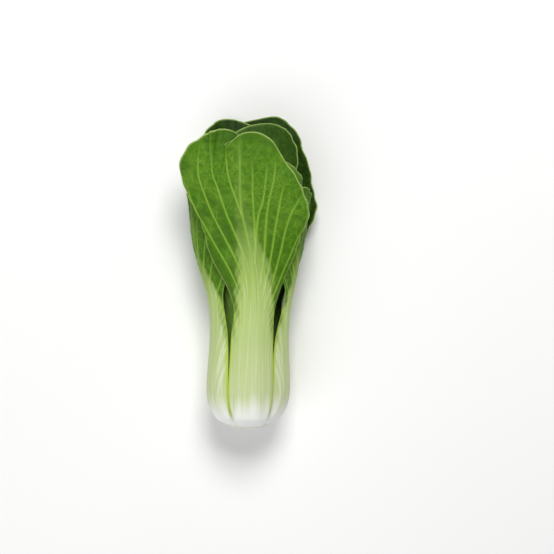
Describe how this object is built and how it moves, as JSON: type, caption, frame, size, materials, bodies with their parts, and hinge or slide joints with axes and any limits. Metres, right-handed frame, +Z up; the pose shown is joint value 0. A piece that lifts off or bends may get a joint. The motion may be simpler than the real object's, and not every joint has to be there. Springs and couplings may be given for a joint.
{
  "type": "bok choy",
  "caption": "Head of bok choy as cut, lying on its side: a bulb of thick pale stalks that widen into dark green, veined, waved leaf blades round a short cut stem.",
  "frame": {"origin": "middle of the bottom of the bounding box, on the surface that the head lies on", "axes": "+Y along the head from the cut end to the leaf tips, +Z up, away from the surface, through the widest leaf"},
  "size_m": [0.0934, 0.2146, 0.0593],
  "materials": {
    "outer_leaf": "waxy green blade running down into a smooth pale green and white stalk",
    "inner_leaf": "young green blade running down into a smooth pale green stalk",
    "stem": "moist cut white stem"
  },
  "bodies": {
    "root": {"leaf_01": "outer_leaf", "leaf_02": "outer_leaf", "leaf_03": "outer_leaf", "leaf_04": "outer_leaf", "leaf_05": "outer_leaf", "leaf_06": "inner_leaf", "leaf_07": "inner_leaf", "leaf_08": "inner_leaf", "leaf_09": "inner_leaf", "leaf_10": "inner_leaf", "leaf_11": "inner_leaf", "stem": "stem"}
  },
  "joints": []
}
